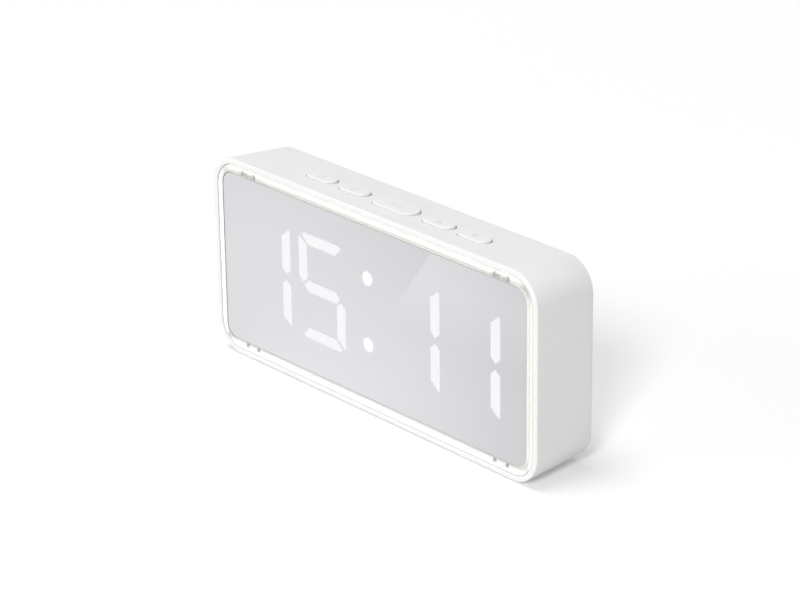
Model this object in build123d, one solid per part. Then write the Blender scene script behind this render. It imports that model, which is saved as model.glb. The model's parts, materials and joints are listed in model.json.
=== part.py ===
from build123d import *
import os

# A desk clock with a mirrored front, a seven-segment display and five buttons on top.
# Millimetres, +Z up, the display faces -Y, and the origin is on the surface that the
# clock stands on, under the middle of its box.

# Casing. Its width, height and depth follow from what it holds: see "Overall sizes"
corner_radius = 10.8
side_draft = 1.4
foot_gap = 0.4
wall = 2.0
rim_width = 1.9
rim_round = 0.4
back_round = 1.0
ledge_width = 1.4
ledge_thickness = 1.2

# Clearances
overrun = 1.0
rim_gap = 0.25
seat_gap = 0.05
close_fit = 0.03
slide_gap = 0.25
bore_gap = 0.05
frame_gap = 0.4

# Front window: clear bezel, mirror panel and the tape round it
bezel_setback = 0.15
bezel_thickness = 2.2
bezel_round = 0.35
bezel_shelf = 1.6
mirror_side_margin = 4.9
mirror_top_margin = 5.3
mirror_corner_radius = 4.6
mirror_thickness = 0.8
mirror_setback = 0.05
tape_thickness = 0.2
tape_line = 0.4
tape_flange = 1.2

# Snap hooks of the bezel and the frame that they hold
frame_thickness = 1.6
hook_x = 62.5
hook_inset = 4.5
hook_width = 5.4
hook_thickness = 0.9
hook_reach = 1.5
hook_barb = 0.5
hook_play = 0.1
hook_slot_width = 7.6
hook_slot_height = 1.9
locator_gap = 1.7
locator_width = 5.0
locator_height = 1.0
locator_depth = 0.7
post_radius = 2.3
post_length = 3.2
post_inset = 4.3
post_z = 18.0

# Seven-segment display
digit_outer_x = 51.4
digit_inner_x = 23.2
column_spacing = 19.3
row_spacing = 16.7
upright_width = 4.5
bar_thickness = 4.0
upright_outer_end = 17.0
upright_inner_end = 13.8
upright_shoulder = 2.9
upright_tip = 1.25
bar_outer_half = 10.0
bar_inner_half = 7.35
middle_bar_half = 9.2
colon_radius = 2.45
colon_z = 11.55
well_share = 0.6
reflector_margin = 3.2
film_thickness = 0.3
film_margin = 0.5

# Display board and what is soldered to it
board_side_margin = 0.4
board_top_margin = 1.3
board_side_room = 6.5
board_back_room = 2.5
board_corner = 1.5
board_thickness = 1.6
led_length = 1.6
led_width = 0.8
led_height = 0.7
chip_margin = 6.0
chip_drop = 6.0
chip_length = 15.4
chip_width = 7.5
chip_height = 1.4
chip_lift = 0.2
chip_legs = 12
leg_width = 0.5
leg_reach = 1.4
leg_thickness = 0.25
crystal_margin = 4.0
crystal_radius = 1.5
crystal_length = 7.0
crystal_rise = 4.0
capacitor_spacing = 8.0
capacitor_radius = 2.5
capacitor_height = 7.0
capacitor_rise = 12.0
buzzer_margin = 1.1
buzzer_drop = 12.0
buzzer_radius = 6.0
buzzer_height = 8.4
buzzer_hole_radius = 1.0
part_round = 0.4

# Buttons on top, in a row a little right of the middle as the photo shows them
button_row_x = 2.5
button_row_setback = 10.8
button_near_gap = 4.3
button_far_gap = 3.5
small_button_length = 13.2
small_button_width = 5.8
large_button_length = 19.6
large_button_width = 8.0
button_proud = 0.8
button_round = 0.35
button_travel = 0.5
flange_width = 0.8
flange_thickness = 0.8
flange_gap = 0.15
stem_radius = 2.0

# Key board and its five switches
switch_side = 6.0
switch_height = 3.4
plunger_radius = 1.7
plunger_proud = 1.1
plunger_sunk = 1.4
stem_length = 0.65
key_board_thickness = 1.2
key_board_gap = 0.9
key_board_front_margin = 1.6
key_board_margin = 0.8
key_post_gap = 0.4
key_post_radius = 2.2

# Ribbon cable between the two boards
ribbon_side = 5.8
ribbon_width = 8.0
ribbon_thickness = 0.6
ribbon_setback = 1.6
ribbon_drop = 3.0
ribbon_bend = 1.4
header_depth = 2.4
header_height = 1.4
header_margin = 0.6

# Rear cover, its screws and the bosses that take them
cover_thickness = 2.0
cover_recess = 0.3
cover_rim = 2.6
cover_gap = 0.15
boss_radius = 2.9
boss_web = 1.6
screw_radius = 1.1
screw_length = 8.0
screw_head_radius = 2.2
screw_head_height = 1.1
screw_hole_radius = 1.35
counterbore_radius = 2.5
counterbore_depth = 1.3
counterbore_margin = 1.35
diagonal_share = 0.7071
pilot_depth = 9.5
small_screw_radius = 0.9
small_screw_length = 3.6
small_head_radius = 1.8
small_head_height = 0.9
head_round = 0.3
small_hole_radius = 1.15
small_pilot_depth = 4.4
cross_width = 0.6
cross_depth = 0.5

# Battery bay, cells, contacts and door
bay_x = 27.0
bay_wall = 1.2
bay_corner = 0.8
cell_count = 3
cell_radius = 5.2
cell_length = 43.3
nub_radius = 1.9
nub_length = 0.9
cell_pitch = 10.8
cell_margin = 0.25
contact_thickness = 0.35
contact_height = 8.0
contact_width = 7.6
leaf_bow = 1.3
leaf_half = 2.4
leaf_width = 4.0
leaf_thickness = 0.3
door_thickness = 1.5
door_lip = 2.0
door_gap = 0.2
door_corner = 1.6
latch_width = 11.0
latch_length = 7.0
latch_cut = 0.7
tab_width = 5.0
tab_length = 1.1
tab_z = 11.0
ridge_count = 3
ridge_length = 7.0
ridge_width = 0.7
ridge_height = 0.25
ridge_pitch = 1.8

# Power socket on its own small board, and the sound slots
socket_margin = 1.0
socket_drop = 21.0
socket_width = 7.6
socket_height = 2.8
socket_depth = 5.4
socket_wall = 0.35
socket_chamfer = 0.7
socket_sunk = 0.8
tongue_width = 4.6
tongue_thickness = 0.6
tongue_length = 4.2
socket_board_width = 15.0
socket_board_depth = 12.0
socket_board_thickness = 1.2
rail_width = 2.4
rail_height = 4.4
rail_bite = 1.0
plug_opening_width = 10.4
plug_opening_height = 5.0
plug_opening_corner = 1.6
sound_slot_count = 5
sound_slot_pitch = 2.4
sound_slot_width = 1.1
sound_slot_length = 9.0

# Wires from the battery bay and from the socket's board to the display board
wire_radius = 0.6
wire_bend = 1.5
wire_reach = 3.0
wire_cell_drop = 2.4
power_wire_pitch = 3.0
power_wire_setback = 9.0
power_wire_rise = 5.0

# Feet
foot_radius = 3.6
foot_side_setback = 18.0
foot_margin = 1.0

# Overall sizes: the casing goes round the display board, the key board and the cells
reflector_width = 2 * (digit_outer_x + column_spacing / 2 + upright_width / 2 + reflector_margin)
reflector_height = 2 * (row_spacing + bar_thickness / 2 + reflector_margin)
post_x = reflector_width / 2 + post_inset
board_width = 2 * (post_x + post_radius + board_side_margin)
board_height = reflector_height + 2 * board_top_margin
case_width = board_width + 2 * board_side_room
case_depth = sum([
    bezel_setback, bezel_thickness, seat_gap, frame_thickness, post_length, board_thickness,
    board_back_room, bay_wall, 2 * (cell_radius + cell_margin), door_thickness, cover_recess,
])
flange_reach = flange_width + slide_gap
wall_lean = side_draft * (button_row_setback + large_button_width / 2 + flange_reach) / case_depth
key_stack = sum([
    key_board_gap, small_head_height, key_board_thickness, switch_height, plunger_proud,
    stem_length, flange_thickness, flange_gap, wall, wall_lean,
])
case_height = board_height + 2 * key_stack

# Levels through the depth, from the display side to the back
front_y = -case_depth / 2
back_y = case_depth / 2
bezel_front_y = front_y + bezel_setback
bezel_back_y = bezel_front_y + bezel_thickness
mirror_front_y = bezel_front_y + mirror_setback
mirror_back_y = mirror_front_y + mirror_thickness
tape_back_y = mirror_back_y + tape_thickness
frame_front_y = bezel_back_y + seat_gap
frame_back_y = frame_front_y + frame_thickness
ledge_front_y = frame_back_y + seat_gap
ledge_back_y = ledge_front_y + ledge_thickness
reflector_front_y = mirror_back_y + film_thickness
board_front_y = frame_back_y + post_length
board_back_y = board_front_y + board_thickness
cover_back_y = back_y - cover_recess
cover_front_y = cover_back_y - cover_thickness
door_front_y = cover_back_y - door_thickness
cell_y = door_front_y - cell_margin - cell_radius
bay_floor_y = cell_y - cell_radius - cell_margin

# Levels through the height
middle_z = foot_gap + case_height / 2
top_z = foot_gap + case_height
button_y = front_y + button_row_setback
key_board_bottom_z = middle_z + board_height / 2 + key_board_gap + small_head_height
key_board_top_z = key_board_bottom_z + key_board_thickness
switch_top_z = key_board_top_z + switch_height
plunger_top_z = switch_top_z + plunger_proud
flange_bottom_z = plunger_top_z + stem_length
flange_top_z = flange_bottom_z + flange_thickness
button_top_z = top_z - side_draft * button_row_setback / case_depth + button_proud

# Sizes shared by pieces that seat in each other
mirror_width = case_width - 2 * mirror_side_margin
mirror_height = case_height - 2 * mirror_top_margin
locator_x = hook_x - (hook_slot_width + locator_width) / 2 - locator_gap
bay_length = cell_length + nub_length + leaf_bow + 2 * contact_thickness + 2 * seat_gap
bay_height = cell_count * cell_pitch
door_width = bay_length + 2 * door_lip
door_height = bay_height + 2 * door_lip
socket_board_top_z = middle_z - socket_drop
socket_z = socket_board_top_z + socket_height / 2
button_near_offset = (large_button_length + small_button_length) / 2 + button_near_gap
button_far_offset = button_near_offset + small_button_length + button_far_gap
key_post_reach = flange_reach + key_post_gap + key_post_radius
key_post_far = button_far_offset + small_button_length / 2 + key_post_reach
key_post_setback = small_button_width / 2 + key_post_reach
ribbon_x = button_row_x - button_near_offset - ribbon_side
cover_inset = cover_rim + cover_gap
cover_corner = corner_radius - cover_inset
boss_setback = cover_corner - (cover_corner - counterbore_radius - counterbore_margin) * diagonal_share
boss_x = case_width / 2 - side_draft - cover_inset - boss_setback
boss_z = case_height / 2 - side_draft - cover_inset - boss_setback
rail_reach = socket_board_width / 2 - rail_bite + rail_width
socket_x = boss_radius + socket_margin + rail_reach - boss_x
buzzer_x = socket_x + rail_reach + buzzer_margin + buzzer_radius
wire_x = bay_x - bay_length / 2 - bay_wall - wire_reach
chip_x = wire_x - wire_radius - chip_margin - chip_length / 2
crystal_x = chip_x - (chip_length + crystal_length) / 2 - crystal_margin

buttons = {
    "mode": (-button_far_offset, small_button_length, small_button_width),
    "alarm": (-button_near_offset, small_button_length, small_button_width),
    "snooze": (0, large_button_length, large_button_width),
    "up": (button_near_offset, small_button_length, small_button_width),
    "down": (button_far_offset, small_button_length, small_button_width),
}
digit_centres = (-digit_outer_x, -digit_inner_x, digit_inner_x, digit_outer_x)
key_post_places = [
    (button_row_x - key_post_far, button_y),
    (button_row_x - button_near_offset, button_y + key_post_setback),
    (button_row_x + button_near_offset, button_y + key_post_setback),
    (button_row_x + key_post_far, button_y),
]
corners = [(side, level) for side in (-1, 1) for level in (-1, 1)]


def section(y, inset):
    """Outline of the leaning casing at a depth, moved inwards."""
    share = (y - front_y) / case_depth
    lean = 2 * side_draft * share + 2 * inset
    outline = RectangleRounded(case_width - lean, case_height - lean, corner_radius - inset)
    return Plane.XZ.offset(-y) * Pos(0, middle_z) * outline


def tapered(y_low, y_high, inset):
    """Block with the casing's leaning sides."""
    return loft([section(y_low, inset), section(y_high, inset)], ruled=True)


def straight(y_low, y_high, y_outline, inset):
    """Block with square sides and the casing's outline at one depth."""
    outline = section(y_outline, inset)
    return extrude(Pos(0, y_high - y_outline, 0) * outline, y_high - y_low)


def plate(width, height, radius, y_low, y_high, x=0, z=middle_z):
    """Upright rounded plate."""
    outline = Plane.XZ.offset(-y_high) * Pos(x, z) * RectangleRounded(width, height, radius)
    return extrude(outline, y_high - y_low)


def bar(x_low, x_high, y_low, y_high, z_low, z_high):
    """Square block between two corners."""
    size = Box(x_high - x_low, y_high - y_low, z_high - z_low)
    return Pos((x_low + x_high) / 2, (y_low + y_high) / 2, (z_low + z_high) / 2) * size


def rod_x(radius, x_low, x_high, y, z):
    rod = Rot(0, 90, 0) * Cylinder(radius, x_high - x_low)
    return Pos((x_low + x_high) / 2, y, z) * rod


def rod_y(radius, y_low, y_high, x, z):
    rod = Rot(90, 0, 0) * Cylinder(radius, y_high - y_low)
    return Pos(x, (y_low + y_high) / 2, z) * rod


def rod_z(radius, z_low, z_high, x, y):
    return Pos(x, y, (z_low + z_high) / 2) * Cylinder(radius, z_high - z_low)


def stadium(length, width, z_low, z_high, x):
    """Block with round ends in the row of buttons."""
    outline = Plane.XY.offset(z_low) * Pos(x, button_y) * SlotOverall(length, width)
    return extrude(outline, z_high - z_low)


def corner_bosses():
    """Four bosses for the cover's screws, webbed to the side walls."""
    y_low, y_high = board_back_y, cover_front_y
    bosses = []
    for side, level in corners:
        x, z = side * boss_x, middle_z + level * boss_z
        x_wall = side * case_width / 2
        web = bar(min(x, x_wall), max(x, x_wall), y_low, y_high, z - boss_web / 2, z + boss_web / 2)
        bosses += [rod_y(boss_radius, y_low, y_high, x, z), web]
    return bosses


def key_posts():
    """Posts under the top wall that carry the key board."""
    return [rod_z(key_post_radius, key_board_top_z, top_z, x, y) for x, y in key_post_places]


def pilot_holes():
    y_low = cover_front_y - pilot_depth
    radius = screw_radius + bore_gap
    holes = [
        rod_y(radius, y_low, cover_front_y + overrun, side * boss_x, middle_z + level * boss_z)
        for side, level in corners
    ]
    z_high = key_board_top_z + small_pilot_depth - key_board_thickness
    radius = small_screw_radius + bore_gap
    holes += [rod_z(radius, key_board_top_z - overrun, z_high, x, y) for x, y in key_post_places]
    return holes


def case_shell():
    """Leaning moulded sleeve with a rim in front, ledges inside and button slots on top."""
    outer = tapered(front_y, back_y, 0)
    outer = fillet(outer.faces().sort_by(Axis.Y)[-1].edges(), back_round)
    outer = fillet(outer.faces().sort_by(Axis.Y)[0].edges(), rim_round)
    front_pocket = straight(front_y - overrun, ledge_front_y, front_y, rim_width)
    front_opening = straight(front_y, ledge_back_y + overrun, front_y, rim_width + ledge_width)
    back_pocket = straight(cover_front_y, back_y + overrun, back_y, cover_rim)
    back_opening = straight(board_back_y, back_y, back_y, cover_rim + ledge_width)
    cavity = tapered(ledge_back_y, cover_front_y - ledge_thickness, wall)
    shell = outer - [front_pocket, front_opening, cavity, back_opening, back_pocket]
    limit = tapered(front_y, cover_front_y, wall / 2)
    shell = shell + [piece & limit for piece in corner_bosses() + key_posts()]
    grow = 2 * slide_gap
    slots = [
        stadium(length + grow, width + grow, flange_top_z, top_z + overrun, button_row_x + x)
        for x, length, width in buttons.values()
    ]
    return shell - slots - pilot_holes()


def clear_bezel():
    """Clear acrylic ring round the mirror, with four snap hooks behind it."""
    inset = rim_width + rim_gap
    ring = straight(bezel_front_y, bezel_back_y, front_y, inset)
    ring = fillet(ring.faces().sort_by(Axis.Y)[0].edges(), bezel_round)
    grow = 2 * (tape_line + close_fit)
    radius = mirror_corner_radius + tape_line + close_fit
    recess = plate(mirror_width + grow, mirror_height + grow, radius, front_y - overrun, tape_back_y)
    cut = 2 * bezel_shelf
    window = plate(
        mirror_width - cut, mirror_height - cut, mirror_corner_radius - bezel_shelf,
        front_y, bezel_back_y + overrun,
    )
    ring = ring - [recess, window]
    return ring + [snap_hook(side, level) for side, level in corners]


def hook_z(level):
    return middle_z + level * (case_height / 2 - hook_inset)


def snap_hook(side, level):
    """One hook: a flat arm with a barb on its outer side, behind the frame."""
    z = hook_z(level)
    low, high = z - level * hook_thickness / 2, z + level * hook_thickness / 2
    tip_y = frame_back_y + hook_reach
    catch_y = frame_back_y + seat_gap
    profile = Polyline(
        (bezel_back_y, low), (tip_y, low), (tip_y, high),
        (catch_y, high + level * hook_barb), (catch_y, high), (bezel_back_y, high), close=True,
    )
    x_low = side * hook_x - hook_width / 2
    return extrude(Plane.YZ.offset(x_low) * make_face(profile), hook_width)


def mirror_panel():
    """Half-silvered panel that the digits shine through."""
    return plate(mirror_width, mirror_height, mirror_corner_radius, mirror_front_y, mirror_back_y)


def mirror_tape():
    """Black tape that holds the mirror and shows as a thin dark line round it."""
    grow = 2 * tape_line
    outer = plate(
        mirror_width + grow, mirror_height + grow, mirror_corner_radius + tape_line,
        mirror_front_y, tape_back_y,
    )
    grow = 2 * close_fit
    seat = plate(
        mirror_width + grow, mirror_height + grow, mirror_corner_radius + close_fit,
        front_y, mirror_back_y,
    )
    cut = 2 * tape_flange
    window = plate(
        mirror_width - cut, mirror_height - cut, mirror_corner_radius - tape_flange,
        front_y, bezel_back_y,
    )
    return outer - [seat, window]


def front_frame():
    """White frame behind the clear bezel: hook slots, locating recesses and board posts."""
    ring = straight(frame_front_y, frame_back_y, front_y, rim_width + rim_gap)
    grow = 2 * frame_gap
    opening = bar(
        -(reflector_width + grow) / 2, (reflector_width + grow) / 2, front_y, board_front_y,
        middle_z - (reflector_height + grow) / 2, middle_z + (reflector_height + grow) / 2,
    )
    cuts = [opening]
    for side, level in corners:
        x, z = side * hook_x, hook_z(level)
        z_slot = z + level * (hook_play + (hook_thickness - hook_slot_height) / 2)
        cuts.append(bar(
            x - hook_slot_width / 2, x + hook_slot_width / 2, front_y, board_front_y,
            z_slot - hook_slot_height / 2, z_slot + hook_slot_height / 2,
        ))
        x = side * locator_x
        cuts.append(bar(
            x - locator_width / 2, x + locator_width / 2, front_y, frame_front_y + locator_depth,
            z - locator_height / 2, z + locator_height / 2,
        ))
    posts = [
        rod_y(post_radius, frame_back_y, board_front_y, side * post_x, middle_z + level * post_z)
        for side, level in corners
    ]
    holes = [
        rod_y(
            small_screw_radius + bore_gap, board_back_y - small_pilot_depth, board_back_y,
            side * post_x, middle_z + level * post_z,
        )
        for side, level in corners
    ]
    return ring - cuts + posts - holes


def upright_outline(side, level):
    """Corner points of an upright segment about its column and the digit's middle."""
    half = upright_width / 2
    points = [
        (half, upright_outer_end), (half, upright_shoulder), (0, upright_tip),
        (-half, upright_shoulder), (-half, upright_inner_end),
    ]
    x_column = side * column_spacing / 2
    return [(x_column + side * x, level * z) for x, z in points]


def bar_outline(level):
    """Corner points of the top or bottom segment."""
    half = bar_thickness / 2
    points = [
        (-bar_outer_half, half), (bar_outer_half, half), (bar_inner_half, -half), (-bar_inner_half, -half),
    ]
    return [(x, level * (row_spacing + z)) for x, z in points]


def middle_outline():
    half = bar_thickness / 2
    ends = [(middle_bar_half, 0), (middle_bar_half - half, -half), (half - middle_bar_half, -half)]
    return ends + [(-x, -z) for x, z in ends]


def segment_outlines():
    """The seven segments of one digit."""
    uprights = [upright_outline(side, level) for side, level in corners]
    return uprights + [bar_outline(1), bar_outline(-1), middle_outline()]


def centre_of(points):
    return sum(x for x, z in points) / len(points), sum(z for x, z in points) / len(points)


def well(points, digit_x):
    """Hollow that widens from the lamp at the board to the segment's outline in front."""
    x_centre, z_centre = centre_of(points)
    own = [(x - x_centre, z - z_centre) for x, z in points]
    small = [(well_share * x, well_share * z) for x, z in own]
    place = Pos(digit_x + x_centre, middle_z + z_centre)
    front = Plane.XZ.offset(-reflector_front_y) * place * Polygon(*own, align=None)
    back = Plane.XZ.offset(-board_front_y) * place * Polygon(*small, align=None)
    return loft([front, back], ruled=True)


def display_reflector():
    """Moulded block with a tapered well for each segment and each dot."""
    block = bar(
        -reflector_width / 2, reflector_width / 2, reflector_front_y, board_front_y,
        middle_z - reflector_height / 2, middle_z + reflector_height / 2,
    )
    wells = [well(points, x) for x in digit_centres for points in segment_outlines()]
    depth = board_front_y - reflector_front_y
    for level in (-1, 1):
        cone = Rot(90, 0, 0) * Cone(well_share * colon_radius, colon_radius, depth)
        wells.append(Pos(0, reflector_front_y + depth / 2, middle_z + level * colon_z) * cone)
    return block - wells


def diffuser_film():
    """Milky film between the reflector and the mirror."""
    return bar(
        film_margin - reflector_width / 2, reflector_width / 2 - film_margin,
        mirror_back_y, reflector_front_y,
        middle_z + film_margin - reflector_height / 2, middle_z + reflector_height / 2 - film_margin,
    )


def display_leds():
    """One small lamp at the foot of each well."""
    places = []
    for digit_x in digit_centres:
        for points in segment_outlines():
            x, z = centre_of(points)
            places.append((digit_x + x, z))
    places += [(0, -colon_z), (0, colon_z)]
    return Compound([
        bar(
            x - led_length / 2, x + led_length / 2, board_front_y - led_height, board_front_y,
            middle_z + z - led_width / 2, middle_z + z + led_width / 2,
        )
        for x, z in places
    ])


def display_board():
    board = plate(board_width, board_height, board_corner, board_front_y, board_back_y)
    return board - [
        rod_y(small_hole_radius, front_y, back_y, side * post_x, middle_z + level * post_z)
        for side, level in corners
    ]


def controller_chip():
    """Controller on the back of the display board, with its two rows of legs."""
    z = middle_z - chip_drop
    y_low = board_back_y + chip_lift
    body = bar(
        chip_x - chip_length / 2, chip_x + chip_length / 2, y_low, y_low + chip_height,
        z - chip_width / 2, z + chip_width / 2,
    )
    body = chamfer(body.faces().sort_by(Axis.Y)[-1].edges(), leg_thickness)
    pitch = chip_length / chip_legs
    legs = []
    for n in range(chip_legs):
        x = chip_x + pitch * (n - (chip_legs - 1) / 2)
        for level in (-1, 1):
            root = z + level * (chip_width / 2 - leg_thickness)
            tip = z + level * (chip_width / 2 + leg_reach)
            legs.append(bar(
                x - leg_width / 2, x + leg_width / 2, board_back_y, y_low + leg_thickness,
                min(root, tip), max(root, tip),
            ))
    return body + legs


def crystal():
    """Timing crystal in its can, lying on the board."""
    can = rod_x(
        crystal_radius, crystal_x - crystal_length / 2, crystal_x + crystal_length / 2,
        board_back_y + crystal_radius, middle_z + crystal_rise,
    )
    return fillet(can.edges().filter_by(GeomType.CIRCLE), part_round)


def capacitors():
    """Two round capacitors standing off the board."""
    cans = []
    for n in range(2):
        x = chip_x + capacitor_spacing * (n - 1)
        can = rod_y(
            capacitor_radius, board_back_y, board_back_y + capacitor_height, x, middle_z + capacitor_rise,
        )
        cans.append(fillet(can.edges().filter_by(GeomType.CIRCLE), part_round))
    return Compound(cans)


def buzzer():
    """Round sounder that faces the slots in the cover."""
    z = middle_z - buzzer_drop
    can = rod_y(buzzer_radius, board_back_y, board_back_y + buzzer_height, buzzer_x, z)
    can = fillet(can.faces().sort_by(Axis.Y)[-1].edges(), part_round)
    depth = board_back_y + buzzer_height - 2 * buzzer_hole_radius
    return can - rod_y(buzzer_hole_radius, depth, back_y, buzzer_x, z)


def button(x, length, width):
    """Button cap with a flange that stops under the top wall and a stem on the switch."""
    x = button_row_x + x
    cap = stadium(length, width, flange_bottom_z, button_top_z, x)
    cap = fillet(cap.faces().sort_by(Axis.Z)[-1].edges(), button_round)
    grow = 2 * flange_reach
    flange = stadium(length + grow, width + grow, flange_bottom_z, flange_top_z, x)
    stem = rod_z(stem_radius, plunger_top_z, flange_top_z, x, button_y)
    return cap + flange + stem


def plunger(x):
    """Plunger of one switch, pressed by the stem above it."""
    low = switch_top_z - plunger_sunk
    return rod_z(plunger_radius, low, plunger_top_z, button_row_x + x, button_y)


def switch_housings():
    """Five square switch bodies on the key board, open for their plungers."""
    half = switch_side / 2
    bore_low = switch_top_z - plunger_sunk - button_travel - slide_gap
    bodies = []
    for x, length, width in buttons.values():
        x = button_row_x + x
        body = bar(x - half, x + half, button_y - half, button_y + half, key_board_top_z, switch_top_z)
        body = chamfer(body.edges().filter_by(Axis.Z), part_round)
        bodies.append(body - rod_z(plunger_radius + bore_gap, bore_low, top_z, x, button_y))
    return Compound(bodies)


def key_board():
    half = key_post_far + key_post_radius + key_board_margin
    y_low = button_y - switch_side / 2 - key_board_front_margin
    y_high = button_y + key_post_setback + key_post_radius + key_board_margin
    board = bar(
        button_row_x - half, button_row_x + half, y_low, y_high, key_board_bottom_z, key_board_top_z,
    )
    return board - [rod_z(small_hole_radius, 0, top_z, x, y) for x, y in key_post_places]


def key_ribbon():
    """Flat cable from under the key board to the back of the display board."""
    y = button_y + ribbon_setback
    z_bend = key_board_bottom_z - ribbon_drop
    path = FilletPolyline(
        (y, key_board_bottom_z - header_height), (y, z_bend), (board_back_y + header_height, z_bend),
        radius=ribbon_bend,
    )
    strip = trace(path, ribbon_thickness)
    return extrude(Plane.YZ.offset(ribbon_x - ribbon_width / 2) * strip, ribbon_width)


def ribbon_headers():
    """A socket for the flat cable on each of the two boards."""
    half = ribbon_width / 2 + header_margin
    y = button_y + ribbon_setback
    z = key_board_bottom_z - ribbon_drop
    upper = bar(
        ribbon_x - half, ribbon_x + half, y - header_depth / 2, y + header_depth / 2,
        key_board_bottom_z - header_height, key_board_bottom_z,
    )
    lower = bar(
        ribbon_x - half, ribbon_x + half, board_back_y, board_back_y + header_height,
        z - header_depth / 2, z + header_depth / 2,
    )
    return Compound([upper, lower])


def rear_cover():
    """Rear cover with the battery bay, screw wells, socket opening and sound slots."""
    cover = straight(cover_front_y, cover_back_y, back_y, cover_inset)
    grow = 2 * bay_wall
    bay = plate(
        bay_length + grow, bay_height + grow, bay_corner + bay_wall,
        bay_floor_y - bay_wall, cover_front_y + seat_gap, bay_x,
    )
    cover = cover + [bay] + socket_rails()
    cuts = [
        plate(bay_length, bay_height, bay_corner, bay_floor_y, back_y, bay_x),
        plate(door_width, door_height, door_corner, door_front_y, back_y, bay_x),
        plate(
            plug_opening_width, plug_opening_height, plug_opening_corner,
            cover_front_y - seat_gap, back_y, socket_x, socket_z,
        ),
    ]
    cuts += [
        bar(
            bay_x - door_width / 2 - tab_length, bay_x, door_front_y, back_y,
            middle_z + level * tab_z - tab_width / 2, middle_z + level * tab_z + tab_width / 2,
        )
        for level in (-1, 1)
    ]
    for side, level in corners:
        x, z = side * boss_x, middle_z + level * boss_z
        cuts.append(rod_y(screw_hole_radius, cover_front_y - overrun, back_y, x, z))
        cuts.append(rod_y(counterbore_radius, cover_back_y - counterbore_depth, back_y, x, z))
    for n in range(sound_slot_count):
        x = buzzer_x + sound_slot_pitch * (n - (sound_slot_count - 1) / 2)
        cuts.append(plate(
            sound_slot_width, sound_slot_length, sound_slot_width / 2 - close_fit,
            cover_front_y - overrun, back_y, x, middle_z - buzzer_drop,
        ))
    for side in (-1, 1):
        path = battery_wire_path(side)
        x, y, z = path @ 0
        reach = bay_wall + seat_gap + overrun
        cuts.append(rod_x(wire_radius + bore_gap, min(x, x + side * reach), max(x, x + side * reach), y, z))
    return cover - cuts


def socket_rails():
    """Two grooved rails inside the cover that hold the socket's board."""
    rails = []
    for side in (-1, 1):
        edge = socket_x + side * (socket_board_width / 2 - rail_bite)
        outer = socket_x + side * rail_reach
        z = socket_board_top_z - socket_board_thickness / 2
        rail = bar(
            min(edge, outer), max(edge, outer), cover_front_y - socket_board_depth, cover_front_y,
            z - rail_height / 2, z + rail_height / 2,
        )
        half = socket_board_thickness / 2 + seat_gap
        groove_end = edge + side * (rail_bite + seat_gap)
        groove = bar(
            min(edge, groove_end), max(edge, groove_end),
            cover_front_y - socket_board_depth - overrun, cover_front_y, z - half, z + half,
        )
        rails.append(rail - groove)
    return rails


def socket_board():
    half = socket_board_width / 2
    return bar(
        socket_x - half, socket_x + half, cover_front_y - socket_board_depth, cover_front_y,
        socket_board_top_z - socket_board_thickness, socket_board_top_z,
    )


def power_socket():
    """Metal shell of the small power socket, open to the back."""
    y_high = cover_front_y + socket_sunk
    outer = bar(
        socket_x - socket_width / 2, socket_x + socket_width / 2, y_high - socket_depth, y_high,
        socket_board_top_z, socket_board_top_z + socket_height,
    )
    outer = chamfer(outer.edges().filter_by(Axis.Y).sort_by(Axis.Z)[:2], socket_chamfer)
    inner = bar(
        socket_x - socket_width / 2 + socket_wall, socket_x + socket_width / 2 - socket_wall,
        y_high - socket_depth + socket_wall, y_high + overrun,
        socket_board_top_z + socket_wall, socket_board_top_z + socket_height - socket_wall,
    )
    inner = chamfer(inner.edges().filter_by(Axis.Y).sort_by(Axis.Z)[:2], socket_chamfer - socket_wall / 2)
    return outer - inner


def socket_tongue():
    """Contact tongue inside the power socket."""
    y_low = cover_front_y + socket_sunk - socket_depth + socket_wall
    z = socket_z + tongue_thickness / 2
    return bar(
        socket_x - tongue_width / 2, socket_x + tongue_width / 2, y_low, y_low + tongue_length,
        z - tongue_thickness / 2, z + tongue_thickness / 2,
    )


def cell_z(n):
    return middle_z + cell_pitch * (n - (cell_count - 1) / 2)


def battery_cells():
    """Three slim cells side by side, turned end for end in turn."""
    left = bay_x - bay_length / 2 + seat_gap + contact_thickness
    right = bay_x + bay_length / 2 - seat_gap - contact_thickness
    cells = []
    for n in range(cell_count):
        z = cell_z(n)
        if n % 2 == 0:
            low = left + nub_length
            nub = rod_x(nub_radius, left, low + part_round, cell_y, z)
        else:
            low = right - nub_length - cell_length
            nub = rod_x(nub_radius, right - nub_length - part_round, right, cell_y, z)
        can = rod_x(cell_radius, low, low + cell_length, cell_y, z)
        cells.append(fillet(can.edges().filter_by(GeomType.CIRCLE), part_round) + nub)
    return Compound(cells)


def contact_plate(side, first, last):
    """Plate at one end of the bay, from one cell to another."""
    inner = bay_x + side * (bay_length / 2 - seat_gap - contact_thickness)
    outer = inner + side * contact_thickness
    return bar(
        min(inner, outer), max(inner, outer), cell_y - contact_height / 2, cell_y + contact_height / 2,
        cell_z(first) - contact_width / 2, cell_z(last) + contact_width / 2,
    )


def contact_leaf(side, n):
    """Bowed leaf that presses on the flat end of a cell."""
    root = bay_x + side * (bay_length / 2 - seat_gap - contact_thickness)
    tip = root - side * (leaf_bow - leaf_thickness)
    profile = Polyline(
        (root, cell_y - leaf_half), (tip - side * leaf_thickness, cell_y), (root, cell_y + leaf_half),
        (root, cell_y + leaf_half - leaf_thickness), (tip, cell_y),
        (root, cell_y - leaf_half + leaf_thickness), close=True,
    )
    z = cell_z(n) - leaf_width / 2
    return extrude(Plane.XY.offset(z) * make_face(profile), leaf_width)


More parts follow.
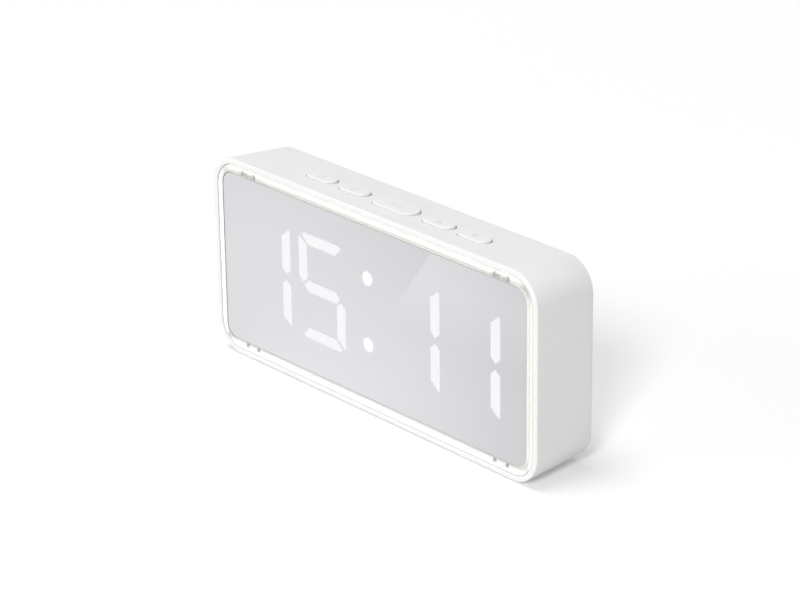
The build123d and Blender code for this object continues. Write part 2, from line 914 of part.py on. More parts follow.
def battery_contacts():
    """Two end contacts and two links that put the cells in series."""
    last = cell_count - 1
    plates = [
        contact_plate(-1, 0, 0),
        contact_plate(-1, 1, last) + contact_leaf(-1, 1),
        contact_plate(1, 0, 1) + contact_leaf(1, 0),
        contact_plate(1, last, last) + contact_leaf(1, last),
    ]
    return Compound(plates)


def battery_wire_path(side):
    """From an end contact out through the bay's wall and on to the display board."""
    x_contact = bay_x + side * (bay_length / 2 - seat_gap)
    x_turn = bay_x + side * (bay_x - wire_x)
    y = cell_y - wire_cell_drop
    z = cell_z(0) if side < 0 else cell_z(cell_count - 1)
    return FilletPolyline((x_contact, y, z), (x_turn, y, z), (x_turn, board_back_y, z), radius=wire_bend)


def wire(path, radius):
    return sweep((path ^ 0) * Circle(radius), path)


def battery_wires():
    """One wire from each end of the row of cells."""
    return Compound([wire(battery_wire_path(side), wire_radius) for side in (-1, 1)])


def power_wires():
    """Two wires from the socket's board to the display board."""
    y = cover_front_y - power_wire_setback
    z = socket_board_top_z + power_wire_rise
    wires = []
    for side in (-1, 1):
        x = socket_x + side * power_wire_pitch / 2
        path = FilletPolyline((x, y, socket_board_top_z), (x, y, z), (x, board_back_y, z), radius=wire_bend)
        wires.append(wire(path, wire_radius))
    return Compound(wires)


def battery_door():
    """Lift-off door with a sprung latch, two tabs and three grip ridges."""
    cut = 2 * door_gap
    door = plate(
        door_width - cut, door_height - cut, door_corner - door_gap, door_front_y, cover_back_y, bay_x,
    )
    edge = bay_x - door_width / 2 + door_gap
    for level in (-1, 1):
        z = middle_z + level * tab_z
        door = door + bar(
            edge - tab_length, edge + door_corner, door_front_y, cover_back_y,
            z - tab_width / 2 + door_gap, z + tab_width / 2 - door_gap,
        )
    edge = bay_x + door_width / 2 - door_gap
    slits = []
    for level in (-1, 1):
        z = middle_z + level * latch_width / 2
        slits.append(bar(
            edge - latch_length, edge + overrun, front_y, back_y, z - latch_cut / 2, z + latch_cut / 2,
        ))
    ridges = []
    for n in range(ridge_count):
        x = edge - latch_length / 2 + ridge_pitch * (n - (ridge_count - 1) / 2)
        ridges.append(bar(
            x - ridge_width / 2, x + ridge_width / 2,
            cover_back_y - ridge_height, cover_back_y + ridge_height,
            middle_z - ridge_length / 2, middle_z + ridge_length / 2,
        ))
    return door - slits + ridges


def screw(radius, length, head_radius, head_height):
    """Cross-head screw that points down, with its head's flat underside at the origin."""
    head = rod_z(head_radius, 0, head_height, 0, 0)
    head = fillet(head.faces().sort_by(Axis.Z)[-1].edges(), head_round)
    shank = rod_z(radius, -length, 0, 0, 0)
    low = head_height - cross_depth
    arm = head_radius - cross_width
    cross = [
        bar(-arm, arm, -cross_width / 2, cross_width / 2, low, head_height + overrun),
        bar(-cross_width / 2, cross_width / 2, -arm, arm, low, head_height + overrun),
    ]
    return head + shank - cross


def small_screw():
    return screw(small_screw_radius, small_screw_length, small_head_radius, small_head_height)


def cover_screws():
    one = Rot(-90, 0, 0) * screw(screw_radius, screw_length, screw_head_radius, screw_head_height)
    y = cover_back_y - counterbore_depth
    return Compound([Pos(side * boss_x, y, middle_z + level * boss_z) * one for side, level in corners])


def board_screws():
    one = Rot(-90, 0, 0) * small_screw()
    return Compound([
        Pos(side * post_x, board_back_y, middle_z + level * post_z) * one for side, level in corners
    ])


def key_board_screws():
    one = Rot(180, 0, 0) * small_screw()
    return Compound([Pos(x, y, key_board_bottom_z) * one for x, y in key_post_places])


def rubber_feet():
    """Four pads that fill the gap under the leaning lower face."""
    body = tapered(front_y, back_y, 0)
    x = case_width / 2 - foot_side_setback
    feet = []
    for y in (front_y + foot_radius + foot_margin, back_y - foot_radius - back_round):
        for side in (-1, 1):
            pad = rod_z(foot_radius, 0, foot_gap + 2 * side_draft, side * x, y)
            feet.append(pad - body)
    return Compound([solid for foot in feet for solid in foot.solids()])


nodes = {
    "case_shell": case_shell,
    "clear_bezel": clear_bezel,
    "mirror_panel": mirror_panel,
    "mirror_tape": mirror_tape,
    "front_frame": front_frame,
    "diffuser_film": diffuser_film,
    "display_reflector": display_reflector,
    "display_leds": display_leds,
    "display_board": display_board,
    "controller_chip": controller_chip,
    "crystal": crystal,
    "capacitors": capacitors,
    "buzzer": buzzer,
    "switch_housings": switch_housings,
    "key_board": key_board,
    "key_ribbon": key_ribbon,
    "ribbon_headers": ribbon_headers,
    "rear_cover": rear_cover,
    "socket_board": socket_board,
    "power_socket": power_socket,
    "socket_tongue": socket_tongue,
    "battery_cells": battery_cells,
    "battery_contacts": battery_contacts,
    "battery_wires": battery_wires,
    "power_wires": power_wires,
    "battery_door": battery_door,
    "cover_screws": cover_screws,
    "board_screws": board_screws,
    "key_board_screws": key_board_screws,
    "rubber_feet": rubber_feet,
}

os.makedirs("parts", exist_ok=True)
for name, make in nodes.items():
    export_step(make(), f"parts/{name}.step")
for name, (x, length, width) in buttons.items():
    export_step(button(x, length, width), f"parts/{name}_button.step")
    export_step(plunger(x), f"parts/{name}_plunger.step")
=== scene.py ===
import json
import math

import bmesh
import bpy
from mathutils import Matrix, Vector


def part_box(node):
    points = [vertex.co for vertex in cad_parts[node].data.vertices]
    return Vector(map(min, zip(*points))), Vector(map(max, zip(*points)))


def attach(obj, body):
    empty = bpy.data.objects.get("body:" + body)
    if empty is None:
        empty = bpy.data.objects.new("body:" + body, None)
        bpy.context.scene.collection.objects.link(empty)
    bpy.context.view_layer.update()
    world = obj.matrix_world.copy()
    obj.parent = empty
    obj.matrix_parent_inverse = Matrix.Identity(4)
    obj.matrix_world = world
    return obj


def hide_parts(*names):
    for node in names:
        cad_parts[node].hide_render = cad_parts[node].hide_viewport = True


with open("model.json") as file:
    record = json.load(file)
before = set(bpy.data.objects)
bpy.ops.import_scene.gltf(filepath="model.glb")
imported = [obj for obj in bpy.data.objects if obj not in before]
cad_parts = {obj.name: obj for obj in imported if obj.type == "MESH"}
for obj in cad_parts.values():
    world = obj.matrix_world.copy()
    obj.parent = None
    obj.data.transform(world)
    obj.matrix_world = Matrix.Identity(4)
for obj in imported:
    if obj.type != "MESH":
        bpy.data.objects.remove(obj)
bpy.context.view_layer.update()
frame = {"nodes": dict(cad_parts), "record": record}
nodes = frame["nodes"]
body_of = {
    node: body
    for body, members in frame["record"]["behaviour"]["bodies"].items()
    for node in members
}


def middle(node):
    low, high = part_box(node)
    return (low + high) / 2


MM = 0.001
SAME_POINT = 0.001 * MM
SHARP_ANGLE = math.radians(28)
MIRROR_FRONT_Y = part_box("mirror_panel")[0].y
BEZEL_BACK_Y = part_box("front_frame")[0].y
MIDDLE_Z = middle("mirror_panel").z

# Lit display, in millimetres from its middle
DIGITS = (("bc", -51.4), ("acdfg", -23.2), ("bc", 23.2), ("bc", 51.4))
COLUMN_SPACING = 19.3
ROW_SPACING = 16.7
UPRIGHT_WIDTH = 4.5
BAR_THICKNESS = 4.0
COLON_RADIUS = 2.45
COLON_Z = 11.55
COLON_SIDES = 48
DISPLAY_RISE = 0.6
GLOW_SUNK = 0.02
GLOW_THICKNESS = 0.08
EDGE_BLUR = 0.7
DISPLAY_Z = MIDDLE_Z + DISPLAY_RISE * MM
GLOW_Y = MIRROR_FRONT_Y + GLOW_SUNK * MM

# Painted reflection on the mirror, in millimetres but for the slope of its wedge
REFLECTION_PEAK_X = -53
WEDGE_SLOPE = 0.77
WEDGE_START, WEDGE_END = -19.6, -18.4
WEDGE_FOOT, WEDGE_TOP = 37, 56

# Painted glow and painted shade of the clear bezel, in millimetres
HOOK_X = 62.5
HOOK_LEVEL = 35.1
HOOK_RISE = 31.3
SLOT_OFFSET = 2.9
SLOT_HALF = 0.75
LIT_EDGE = 1.2
LIT_EDGE_END = 2.4
HIGHLIGHT_LINE = 0.04
ROUNDING_START, ROUNDING_END = 0.03, 0.36
BACK_LAYER = 0.3
HOOK_ROOT = 0.2

# Colour of the case and its buttons
WHITE = (0.86, 0.86, 0.855)


# Nodes

class Value:
    """A node's output that takes part in sums."""

    def __init__(self, tree, output):
        self.tree = tree
        self.output = output

    def other(self, name):
        """Another output of the same node."""
        return Value(self.tree, self.output.node.outputs[name])

    def sum(self, operation, *values):
        """A Math node on outputs and numbers."""
        return self.tree.node("ShaderNodeMath", {"operation": operation}, dict(enumerate(values)))

    def __add__(self, other):
        return self.sum("ADD", self, other)

    __radd__ = __add__

    def __sub__(self, other):
        return self.sum("SUBTRACT", self, other)

    def __rsub__(self, other):
        return self.sum("SUBTRACT", other, self)

    def __mul__(self, other):
        return self.sum("MULTIPLY", self, other)

    __rmul__ = __mul__

    def __lt__(self, other):
        return self.sum("LESS_THAN", self, other)

    def __gt__(self, other):
        return self.sum("GREATER_THAN", self, other)

    def __abs__(self):
        return self.sum("ABSOLUTE", self)

    def either(self, other):
        return self.sum("MAXIMUM", self, other)

    def least(self, other):
        return self.sum("MINIMUM", self, other)

    def root(self):
        return self.sum("SQRT", self)


class Tree:
    """The nodes of a material, of the room or of a shape."""

    def __init__(self, group):
        self.group = group

    def node(self, kind, settings=None, sockets=None, output=0):
        """Adds a node, its settings before its sockets, and returns one of its outputs."""
        node = self.group.nodes.new(kind)
        for key, value in (settings or {}).items():
            setattr(node, key, value)
        for key, value in (sockets or {}).items():
            self.plug(node.inputs[key], value)
        return None if output is None else Value(self, node.outputs[output])

    def plug(self, socket, value):
        """Links a value, or each value of a list, or sets a constant."""
        if isinstance(value, list):
            for part in value:
                self.plug(socket, part)
        elif isinstance(value, Value):
            self.group.links.new(value.output, socket)
        elif socket.type == "RGBA" and len(value) == 3:
            socket.default_value = (*value, 1)
        else:
            socket.default_value = value

    def rays(self, first, *others):
        """1 for a ray of any of these kinds, and 0 for others."""
        path = self.node("ShaderNodeLightPath")
        found = path.other(f"Is {first} Ray")
        for kind in others:
            found = found.either(path.other(f"Is {kind} Ray"))
        return found


# Materials

class Finish(Tree):
    """A procedural material, built on the piece's own coordinates."""

    def __init__(self, name, **constants):
        self.material = bpy.data.materials.new(name)
        self.material.use_nodes = True
        super().__init__(self.material.node_tree)
        self.shader = self.group.nodes["Principled BSDF"]
        self.place = self.node("ShaderNodeTexCoord", output="Object")
        for key, value in constants.items():
            self.set(key.replace("_", " "), value)

    def set(self, name, value):
        self.plug(self.shader.inputs[name], value)

    def axes(self):
        parts = self.node("ShaderNodeSeparateXYZ", sockets={0: self.place})
        return [parts.other(axis) for axis in "XYZ"]

    def noise(self, size, detail=2.0, stretch=None):
        """Smooth noise, whose blotches are about one size across."""
        place = self.place
        if stretch:
            place = self.node("ShaderNodeMapping", sockets={"Vector": place, "Scale": stretch})
        sockets = {"Vector": place, "Scale": 1 / size, "Detail": detail}
        return self.node("ShaderNodeTexNoise", sockets=sockets)

    def mix(self, factor, low, high):
        """One colour turning into another."""
        sockets = {"Factor": factor, 6: low, 7: high}
        return self.node("ShaderNodeMix", {"data_type": "RGBA"}, sockets, 2)

    def ramp(self, value, low, high):
        """Goes from 0 to 1 between two values."""
        sockets = {"Value": value, "From Min": low, "From Max": high}
        return self.node("ShaderNodeMapRange", sockets=sockets)

    def sheen(self, pattern, rough, spread):
        """Roughness that follows a pattern, by the spread to both sides."""
        self.set("Roughness", rough - spread + 2 * spread * pattern)

    def relief(self, height, depth):
        """Bumps of a real depth."""
        sockets = {"Height": height, "Distance": depth}
        self.set("Normal", self.node("ShaderNodeBump", sockets=sockets))

    def pass_light(self):
        """Lets lamps and bounced light through to what lies behind, as clear plastic does."""
        solid = Value(self, self.shader.outputs["BSDF"])
        clear = self.node("ShaderNodeBsdfTransparent", sockets={"Color": (0.97, 0.98, 0.97)})
        sockets = {0: self.rays("Shadow", "Diffuse"), 1: solid, 2: clear}
        both = self.node("ShaderNodeMixShader", sockets=sockets)
        self.plug(self.group.nodes["Material Output"].inputs["Surface"], both)


def shade(colour, factor):
    return tuple(min(1.0, part * factor) for part in colour)


def grey(level):
    return (level, level, level)


def near(value, target, reach):
    return abs(value - target) < reach


def distance(x, y):
    """How far a spot is from the middle of a round form."""
    return (x * x + y * y).root()


def moulded(name, colour, rough=0.42, drift=0.02, grain=0.35 * MM, depth=0.004 * MM):
    """Moulded plastic: a faint drift of colour, uneven sheen and an eroded grain."""
    finish = Finish(name)
    darker, lighter = shade(colour, 1 - drift), shade(colour, 1 + drift)
    finish.set("Base Color", finish.mix(finish.noise(14 * MM, detail=3.0), darker, lighter))
    finish.sheen(finish.noise(6 * MM), rough, spread=0.05)
    finish.relief(finish.noise(grain, detail=4.0), depth)
    return finish


def drawn_metal(name, colour, rough=0.32, stretch=(1, 18, 18)):
    """Plated metal with fine lines along its length."""
    finish = Finish(name, Metallic=1.0)
    lines = finish.noise(2.5 * MM, 4.0, stretch)
    darker, lighter = shade(colour, 0.92), shade(colour, 1.06)
    finish.set("Base Color", finish.mix(lines, darker, lighter))
    finish.sheen(lines, rough, spread=0.08)
    finish.relief(lines, depth=0.003 * MM)
    return finish


def circuit(name, mask, track):
    """Printed board: a solder mask over paler tracks, with plated pads."""
    track_spacing, track_share = 7 * MM, 0.06
    pad_spacing, pad_share = 5 * MM, 0.12
    finish = Finish(name)
    tracks = finish.node("ShaderNodeTexBrick", sockets={
        "Vector": finish.place, "Scale": 1 / track_spacing, "Mortar Size": track_share,
        "Color1": mask, "Color2": shade(mask, 1.1), "Mortar": track,
    })
    pads = finish.node("ShaderNodeTexVoronoi", sockets={
        "Vector": finish.place, "Scale": 1 / pad_spacing,
    })
    finish.set("Base Color", finish.mix(pads < pad_share, tracks, (0.75, 0.74, 0.7)))
    finish.sheen(finish.noise(3 * MM), rough=0.36, spread=0.06)
    finish.relief(finish.noise(0.5 * MM), depth=0.01 * MM)
    return finish


def half_mirror():
    """Half-silvered acrylic, pale lilac, with a painted reflection: brightest left of its middle.

    A faint lighter wedge across its upper part is painted reflection as well.
    """
    reflection_peak, fall_along, fall_up, reflected_wedge_gain, cloud_gain = 0.8, 45, 150, 0.36, 0.08
    finish = Finish("half_mirror", Metallic=1.0)
    x, _, z = finish.axes()
    along, up = x - REFLECTION_PEAK_X * MM, z - MIDDLE_Z
    # Lighter wedge across the upper part: painted reflection
    reflected_wedge = finish.ramp(x - WEDGE_SLOPE * z, WEDGE_START * MM, WEDGE_END * MM)
    reflected_wedge = reflected_wedge * finish.ramp(z, WEDGE_FOOT * MM, WEDGE_TOP * MM)
    # Painted reflection: brightest left of the middle and darker away from it, with the wedge
    # added; the noise is random tone
    reflection_and_tone = reflection_peak - fall_along * along * along - fall_up * up * up
    reflection_and_tone = reflection_and_tone + reflected_wedge_gain * reflected_wedge + cloud_gain * finish.noise(45 * MM)
    finish.set("Base Color", finish.mix(reflection_and_tone, (0.573, 0.566, 0.585), (0.751, 0.743, 0.768)))
    finish.sheen(finish.noise(20 * MM), rough=0.125, spread=0.025)
    finish.relief(finish.noise(30 * MM, detail=1.0), depth=0.002 * MM)
    return finish


def clear_acrylic():
    """Clear polished acrylic with a breath of cream.

    It glows a little, though it is no lamp: a painted glow, strongest towards its outer edge,
    at the rounding of its front and in its hooks, with a near-white painted highlight along
    the very edge. Its colour is paler near the outer edge, a painted highlight as well. Its
    back is painted dark beside each hook, a painted shade where the slot lies open.
    """
    finish = Finish("clear_acrylic", Transmission_Weight=0.8, IOR=1.49, Emission_Strength=0.5)
    x, y, z = finish.axes()
    cloud = finish.noise(20 * MM)
    low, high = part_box("clear_bezel")
    inward = (high.x - abs(x)).least((high.z - low.z) / 2 - abs(z - MIDDLE_Z))
    # Where the shade beside each hook is painted
    across = near(abs(abs(x) - HOOK_X * MM), SLOT_OFFSET * MM, SLOT_HALF * MM)
    level = near(abs(z - HOOK_LEVEL * MM), HOOK_RISE * MM, SLOT_HALF * MM)
    painted_slot_shade = across * level

    clear = finish.mix(cloud, (0.97, 0.97, 0.945), (0.99, 0.99, 0.97))
    # Colour paler near the outer edge, a painted highlight, and creamier further in
    inner = finish.ramp(inward, LIT_EDGE * MM, LIT_EDGE_END * MM)
    clear = finish.mix(inner, clear, (0.88, 0.88, 0.85))
    back = y > BEZEL_BACK_Y - BACK_LAYER * MM
    # Painted shade: dark on the back beside each hook
    finish.set("Base Color", finish.mix(painted_slot_shade * back, clear, grey(0.05)))

    # Painted glow: at the front's rounding, in the hooks and towards the outer edge
    rounded = (y > low.y + ROUNDING_START * MM) * (y < low.y + ROUNDING_END * MM)
    hooks = y > BEZEL_BACK_Y + HOOK_ROOT * MM
    edge = finish.ramp(inward, LIT_EDGE_END * MM, LIT_EDGE * MM) + rounded + hooks
    light = finish.mix(edge + 0.2 * cloud, (0.08, 0.08, 0.07), (0.42, 0.42, 0.395))
    # Painted highlight: a near-white line along the very edge
    light = finish.mix(inward < HIGHLIGHT_LINE * MM, light, (1.0, 1.0, 0.97))
    # No painted glow where the shade beside the hooks is painted
    finish.set("Emission Color", finish.mix(painted_slot_shade, light, grey(0)))
    finish.sheen(finish.noise(4 * MM), rough=0.02, spread=0.01)
    finish.relief(finish.noise(8 * MM), depth=0.001 * MM)
    finish.pass_light()
    return finish


def tape():
    """Matt tape round the mirror, in painted shade at its left end and paler to its right."""
    dark_x, half_pale_x, still_half_pale_x, pale_x = -76, -68, 69, 75
    finish = Finish("grey_tape")
    x = finish.axes()[0]
    # Painted shade: 0 keeps the left end dark, 1 gives the pale colour towards the right end
    painted_shade_fade = 0.5 * finish.ramp(x, dark_x * MM, half_pale_x * MM)
    painted_shade_fade = painted_shade_fade + 0.5 * finish.ramp(x, still_half_pale_x * MM, pale_x * MM)
    fibres = finish.noise(0.2 * MM, detail=4.0)
    finish.set("Base Color", finish.mix(painted_shade_fade + 0.04 * fibres, grey(0.1), (0.86, 0.86, 0.84)))
    finish.sheen(fibres, rough=0.72, spread=0.02)
    finish.relief(fibres, depth=0.004 * MM)
    return finish


def glow(name, strength, fullness):
    """Evenly lit part of the display, which fades out at its edge."""
    finish = Finish(name, Roughness=0.35, Emission_Strength=strength)
    finish.set("Alpha", fullness(finish))
    cloud = finish.noise(5 * MM)
    finish.set("Base Color", finish.mix(cloud, grey(0.03), grey(0.05)))
    finish.set("Emission Color", finish.mix(cloud, (0.94, 0.955, 0.985), (0.99, 0.995, 1.0)))
    return finish


def bar_fullness(finish):
    """The fade of a segment, which its mesh carries."""
    return finish.node("ShaderNodeAttribute", {"attribute_name": "fullness"}, output="Fac")


def dot_fullness(finish):
    """The fade of the colon's dots, by the distance from their middles."""
    x, _, z = finish.axes()
    radius = distance(x, abs(z - DISPLAY_Z) - COLON_Z * MM)
    rim, core = COLON_RADIUS + EDGE_BLUR / 2, COLON_RADIUS - EDGE_BLUR / 2
    return finish.ramp(radius, rim * MM, core * MM)


def marked(node, mark):
    """White plastic of a button cap, with a small grey mark printed on its top."""
    print_depth = 0.1
    finish = moulded(node, WHITE)
    x, y, z = finish.axes()
    centre, top = middle(node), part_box(node)[1].z
    inked = mark(x - centre.x, y - centre.y) * (z > top - print_depth * MM)
    base = finish.shader.inputs["Base Color"].links[0].from_socket
    finish.set("Base Color", finish.mix(inked, Value(finish, base), (0.74, 0.74, 0.735)))
    return finish


def ring_mark(x, y):
    radius, line_half = 1.35, 0.2
    return near(distance(x, y), radius * MM, line_half * MM)


def bell_mark(x, y):
    """A ring with a dot in its middle."""
    dot_radius = 0.6
    return (distance(x, y) < dot_radius * MM).either(ring_mark(x, y))


def bar_mark(x, y):
    """Two bars side by side along the button."""
    length_half, offset, line_half = 3.4, 0.7, 0.25
    return (abs(x) < length_half * MM) * near(abs(y), offset * MM, line_half * MM)


def arrow_mark(x, y):
    """A triangle that points to +Y."""
    reach, slope = 1.0, 0.9
    return (abs(x) + slope * y < reach * MM) * (y > -reach * MM)


def down_mark(x, y):
    return arrow_mark(x, 0 - y)


MARKS = {
    "mode_button": ring_mark,
    "alarm_button": bell_mark,
    "snooze_button": bar_mark,
    "up_button": arrow_mark,
    "down_button": down_mark,
}

white = moulded("white_plastic", WHITE)
finishes = {
    "case_shell": white,
    "rear_cover": white,
    "battery_door": white,
    "clear_bezel": clear_acrylic(),
    "mirror_panel": half_mirror(),
    "mirror_tape": tape(),
    "front_frame": moulded("frame_plastic", (0.92, 0.92, 0.905), rough=0.25, grain=1 * MM),
    "diffuser_film": moulded("milky_film", grey(0.85), rough=0.5, grain=0.3 * MM),
    "display_reflector": moulded("reflector_plastic", grey(0.82), rough=0.6),
    "display_leds": moulded("lamp_lens", (0.85, 0.8, 0.5), rough=0.2, drift=0.05, grain=0.2 * MM),
    "controller_chip": moulded(
        "chip_resin", (0.025, 0.025, 0.03), rough=0.55, drift=0.1, grain=0.2 * MM,
    ),
    "crystal": drawn_metal("tinned_can", grey(0.66)),
    "capacitors": moulded("dark_sleeve", (0.03, 0.03, 0.07), rough=0.3, drift=0.1),
    "buzzer": moulded("buzzer_plastic", grey(0.03), rough=0.5, drift=0.1),
    "switch_housings": moulded("switch_plastic", grey(0.035), rough=0.5, drift=0.1),
    "key_ribbon": moulded("ribbon_sleeve", (0.66, 0.66, 0.68), rough=0.45, drift=0.04),
    "ribbon_headers": moulded("cream_plastic", (0.78, 0.74, 0.62), rough=0.45, drift=0.03),
    "socket_tongue": moulded("tongue_plastic", grey(0.03), rough=0.45, drift=0.1),
    "power_socket": drawn_metal("plated_steel", (0.62, 0.62, 0.63), rough=0.28),
    "battery_contacts": drawn_metal(
        "nickel_strip", (0.63, 0.62, 0.58), rough=0.3, stretch=(18, 1, 18),
    ),
    "battery_cells": drawn_metal("cell_foil", (0.16, 0.18, 0.21), rough=0.38),
    "rubber_feet": moulded(
        "grey_rubber", grey(0.5), rough=0.8, drift=0.04, grain=0.25 * MM, depth=0.01 * MM,
    ),
}
shared = {
    "wires": moulded("wire_sleeve", (0.3, 0.02, 0.02), rough=0.4, drift=0.08),
    "screws": drawn_metal("screw_steel", (0.58, 0.58, 0.59), rough=0.3, stretch=(6, 1, 6)),
    "board": circuit("solder_mask", (0.02, 0.13, 0.05), (0.03, 0.2, 0.08)),
    "plunger": moulded("switch_stem", grey(0.1), rough=0.5, drift=0.06),
}
for ending, finish in shared.items():
    finishes.update({node: finish for node in nodes if node.endswith(ending)})
finishes.update({node: marked(node, mark) for node, mark in MARKS.items()})


# Pieces

def placed(name, data):
    thing = bpy.data.objects.new(name, data)
    bpy.context.scene.collection.objects.link(thing)
    return thing


def link(name, mesh, finish):
    piece = placed(name, mesh)
    mesh.materials.clear()
    mesh.materials.append(finish.material)
    return piece


def smooth_skin(node):
    """The solid's own surface, merged and smoothly shaded, in place of the faceted node."""
    mesh = nodes[node].data.copy()
    for name in ("custom_normal", "sharp_edge", "sharp_face"):
        if name in mesh.attributes:
            mesh.attributes.remove(mesh.attributes[name])
    form = bmesh.new()
    form.from_mesh(mesh)
    bmesh.ops.remove_doubles(form, verts=form.verts, dist=SAME_POINT)
    form.to_mesh(mesh)
    form.free()
    mesh.shade_smooth()
    mesh.set_sharp_from_angle(angle=SHARP_ANGLE)
    piece = link(f"{node}_skin", mesh, finishes[node])
    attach(piece, body_of[node])
    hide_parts(node)


def upright(side, level):
    """Corners of an upright segment, which is cut slanting at its outer end."""
    half, tip, cut, slant_end, shoulder, point = UPRIGHT_WIDTH / 2, 17.2, 0.7, 14.2, 2.75, 0.9
    outer = ((half - cut, tip), (half, tip - cut), (half, shoulder))
    inner = ((0, point), (-half, shoulder), (-half, slant_end))
    return [(side * (COLUMN_SPACING / 2 + x), level * z) for x, z in outer + inner]


def crossbar(level):
    """Corners of the top or bottom segment, which narrows towards the middle of the digit."""
    half, outer_end, widest, inner_end, drop = BAR_THICKNESS / 2, 8.9, 10.1, 7.1, 0.9
    end = ((outer_end, half), (widest, half - drop), (inner_end, -half))
    points = end + tuple((-x, z) for x, z in reversed(end))
    return [(x, level * (ROW_SPACING + z)) for x, z in points]


def middle_bar():
    """Corners of the middle segment, which is pointed at both ends."""
    half, point = BAR_THICKNESS / 2, 9.2
    ends = [(point, 0), (point - half, -half), (half - point, -half)]
    return ends + [(-x, -z) for x, z in ends]


SEGMENTS = {
    "a": crossbar(1),
    "b": upright(1, 1),
    "c": upright(1, -1),
    "d": crossbar(-1),
    "f": upright(-1, 1),
    "g": middle_bar(),
}


def flat_outlines():
    """Flat faces of the lit segments, just inside the mirror's front.

    Each has a ring along its edge, over which its light fades from full to none.
    """
    form = bmesh.new()
    for lit, digit_x in DIGITS:
        for letter in lit:
            corners = [
                form.verts.new(((digit_x + x) * MM, GLOW_Y, DISPLAY_Z + z * MM))
                for x, z in SEGMENTS[letter]
            ]
            form.faces.new(corners)
    bmesh.ops.recalc_face_normals(form, faces=form.faces)
    for face in form.faces:
        if face.normal.y > 0:
            face.normal_flip()
    fullness = form.verts.layers.float.new("fullness")
    bmesh.ops.inset_individual(
        form, faces=form.faces, thickness=EDGE_BLUR / 2 * MM, use_even_offset=True,
    )
    for corner in form.verts:
        corner[fullness] = 0.0 if corner.is_boundary else 1.0
    # The outer ring moves out as far as the inner one moved in
    for edge in form.edges:
        outer, inner = sorted(edge.verts, key=lambda corner: corner[fullness])
        if inner[fullness] > outer[fullness]:
            outer.co += outer.co - inner.co
    mesh = bpy.data.meshes.new("display_lights")
    form.to_mesh(mesh)
    form.free()
    return mesh


def glow_tree(bar_glow, dot_glow):
    """Raises the segments into thin plates and sets the round dots of the colon between them."""
    group = bpy.data.node_groups.new("Lit display", "GeometryNodeTree")
    group.is_modifier = True
    group.interface.new_socket("Geometry", in_out="INPUT", socket_type="NodeSocketGeometry")
    for name in ("Thickness", "Dot Radius", "Dot Height", "Back Y", "Middle Z"):
        group.interface.new_socket(name, in_out="INPUT", socket_type="NodeSocketFloat")
    group.interface.new_socket("Dots", in_out="INPUT", socket_type="NodeSocketInt")
    group.interface.new_socket("Geometry", in_out="OUTPUT", socket_type="NodeSocketGeometry")

    tree = Tree(group)
    given = tree.node("NodeGroupInput")
    outlines, thickness = given.other("Geometry"), given.other("Thickness")
    dot_height = given.other("Dot Height")
    raised = tree.node("GeometryNodeExtrudeMesh", sockets={
        "Mesh": outlines, "Offset Scale": thickness, "Individual": False,
    })
    backs = tree.node("GeometryNodeFlipFaces", sockets={"Mesh": outlines})
    closed = tree.node("GeometryNodeJoinGeometry", sockets={0: [backs, raised]})
    bars = tree.node("GeometryNodeMergeByDistance", sockets={
        "Geometry": closed, "Distance": SAME_POINT,
    })
    dot = tree.node("GeometryNodeMeshCylinder", sockets={
        "Vertices": COLON_SIDES, "Radius": given.other("Dot Radius"), "Depth": thickness,
    })
    start = tree.node("ShaderNodeCombineXYZ", sockets={
        "Y": -0.5 * thickness + given.other("Back Y"),
        "Z": given.other("Middle Z") - dot_height,
    })
    places = tree.node("GeometryNodeMeshLine", sockets={
        "Count": given.other("Dots"),
        "Start Location": start,
        "Offset": tree.node("ShaderNodeCombineXYZ", sockets={"Z": 2.0 * dot_height}),
    })
    dots = tree.node("GeometryNodeInstanceOnPoints", sockets={
        "Points": places, "Instance": dot, "Rotation": (math.pi / 2, 0, 0),
    })
    painted = []
    for made, finish in ((bars, bar_glow), (dots, dot_glow)):
        real = tree.node("GeometryNodeRealizeInstances", sockets={"Geometry": made})
        sockets = {"Geometry": real, "Material": finish.material}
        painted.append(tree.node("GeometryNodeSetMaterial", sockets=sockets))
    both = tree.node("GeometryNodeJoinGeometry", sockets={0: painted})
    tree.node("NodeGroupOutput", sockets={"Geometry": both}, output=None)
    return group


def display_lights():
    """The lit segments and dots, just proud of the mirror that they shine through."""
    bar_glow = glow("bar_glow", strength=0.85, fullness=bar_fullness)
    dot_glow = glow("dot_glow", strength=0.98, fullness=dot_fullness)
    piece = link("display_lights", flat_outlines(), bar_glow)
    modifier = piece.modifiers.new("Lit display", "NODES")
    modifier.node_group = glow_tree(bar_glow, dot_glow)
    sizes = {
        "Thickness": GLOW_THICKNESS * MM,
        "Dot Radius": (COLON_RADIUS + EDGE_BLUR / 2) * MM,
        "Dot Height": COLON_Z * MM,
        "Back Y": GLOW_Y,
        "Middle Z": DISPLAY_Z,
        "Dots": 2,
    }
    for item in modifier.node_group.interface.items_tree:
        if item.in_out == "INPUT" and item.name in sizes:
            modifier[item.identifier] = sizes[item.name]
    graph = bpy.context.evaluated_depsgraph_get()
    mesh = bpy.data.meshes.new_from_object(piece.evaluated_get(graph))
    piece.modifiers.clear()
    piece.data = mesh
    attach(piece, "case")


# Pieces that show from outside; the others keep their faceted nodes
SKINS = [
    "case_shell", "clear_bezel", "mirror_panel", "mirror_tape", "front_frame", "rear_cover",
    "battery_door", "rubber_feet", "cover_screws", "power_socket", "battery_cells", "buzzer",
] + list(MARKS)
for node in SKINS:
    smooth_skin(node)
for node, thing in nodes.items():
    thing.data.materials.clear()
    thing.data.materials.append(finishes[node].material)
display_lights()


# Room, camera and light

AMBIENT = 0.22
FLOOR_GLOW = 0.19
FLOOR_HALF = 4.0
LAMP_DISTANCE = 12.0
CAMERA_PLACE = (0.68842, -0.58563, 0.40093)
CAMERA_TURN = 0.86484
CAMERA_DIP = 0.38287
CAMERA_ROLL = -0.01363
CAMERA_LENS = 134.77


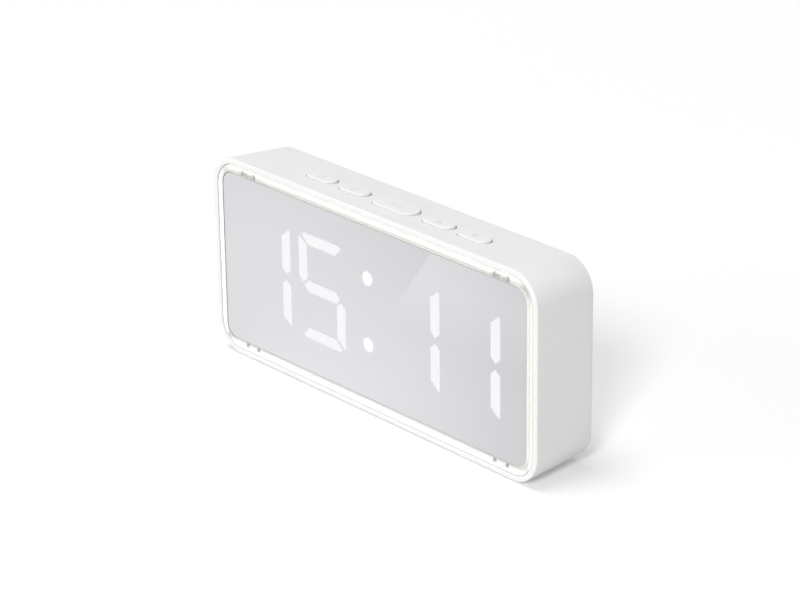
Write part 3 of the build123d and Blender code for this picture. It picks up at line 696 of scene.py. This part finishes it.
def floor_finish():
    """Pale floor that reads white to the camera and in reflections, and still takes a shadow."""
    finish = Finish("pale_floor", Roughness=0.9, Emission_Strength=FLOOR_GLOW)
    finish.set("Base Color", finish.mix(finish.noise(0.4), grey(0.85), grey(0.87)))
    seen = finish.rays("Camera", "Glossy", "Transmission")
    finish.set("Emission Color", finish.mix(seen, grey(0), grey(1)))
    return finish


def floor():
    """Wide level floor under the feet."""
    half = FLOOR_HALF
    mesh = bpy.data.meshes.new("floor")
    corners = [(-half, -half, 0), (half, -half, 0), (half, half, 0), (-half, half, 0)]
    mesh.from_pydata(corners, [], [(0, 1, 2, 3)])
    link("floor", mesh, floor_finish())


def surroundings():
    """White room: plain to the camera and in reflections, softer as a light."""
    world = bpy.data.worlds.new("room")
    bpy.context.scene.world = world
    world.use_nodes = True
    tree = Tree(world.node_tree)
    background = world.node_tree.nodes["Background"]
    tree.plug(background.inputs["Color"], grey(1))
    seen = tree.rays("Camera", "Glossy")
    tree.plug(background.inputs["Strength"], AMBIENT + (1 - AMBIENT) * seen)


def lamp(name, turn, height, size, level):
    """A soft square lamp, placed by its turn from the front and its height, both in degrees.

    The level is the share of white that it gives to a surface that faces it.
    """
    light = bpy.data.lights.new(name, "AREA")
    light.size, light.energy = size, level * (math.pi * LAMP_DISTANCE) ** 2
    turn, height = math.radians(turn), math.radians(height)
    place = LAMP_DISTANCE * Vector((
        math.sin(turn) * math.cos(height), -math.cos(turn) * math.cos(height), math.sin(height),
    ))
    thing = placed(name, light)
    thing.location = place + Vector((0, 0, MIDDLE_Z))
    thing.rotation_euler = (-place).to_track_quat("-Z", "Y").to_euler()
    thing.visible_glossy = False


def camera():
    """Long lens that looks down at the front from the right; angles are in radians."""
    lens = bpy.data.cameras.new("camera")
    lens.sensor_width, lens.sensor_fit, lens.lens = 36, "HORIZONTAL", CAMERA_LENS
    lens.clip_start, lens.clip_end = 0.01, 50
    thing = placed("camera", lens)
    turn = Matrix.Rotation(CAMERA_TURN, 4, "Z")
    dip = Matrix.Rotation(math.pi / 2 - CAMERA_DIP, 4, "X")
    roll = Matrix.Rotation(CAMERA_ROLL, 4, "Z")
    thing.matrix_world = Matrix.Translation(CAMERA_PLACE) @ (turn @ dip @ roll)
    bpy.context.scene.camera = thing


floor()
surroundings()
lamp("overhead", turn=-50, height=80, size=5.0, level=0.45)
lamp("fill", turn=-30, height=10, size=7.6, level=0.27)
lamp("key", turn=35, height=33, size=2.6, level=0.51)
camera()
bpy.context.scene.view_settings.view_transform = "Standard"
